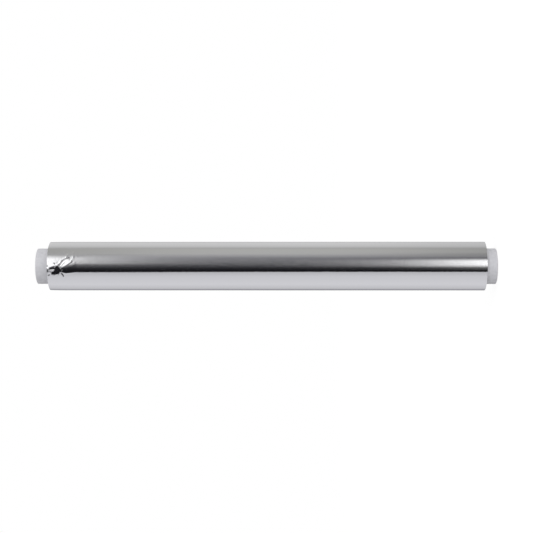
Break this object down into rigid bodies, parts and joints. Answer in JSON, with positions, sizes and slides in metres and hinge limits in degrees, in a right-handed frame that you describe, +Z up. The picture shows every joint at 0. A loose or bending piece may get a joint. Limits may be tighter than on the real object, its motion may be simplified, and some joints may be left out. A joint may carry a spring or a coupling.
{
  "type": "aluminium foil roll",
  "caption": "Roll of household aluminium foil wound on a white plastic core tube that stands out at both ends, with one crumpled spot near an edge.",
  "frame": {"origin": "middle of the core tube's lower rim, on which the roll stands", "axes": "+Z up the roll's axis, towards the crumpled end; -Y is the front, with the crumpled spot a little towards -X"},
  "size_m": [0.0335, 0.0339, 0.3165],
  "materials": {
    "core_plastic": "satin extruded polypropylene, milky white",
    "rolled_foil": "bright side of rolled foil, drawn-out highlights"
  },
  "bodies": {
    "root": {"core_tube": "core_plastic", "foil_roll": "rolled_foil"}
  },
  "joints": []
}
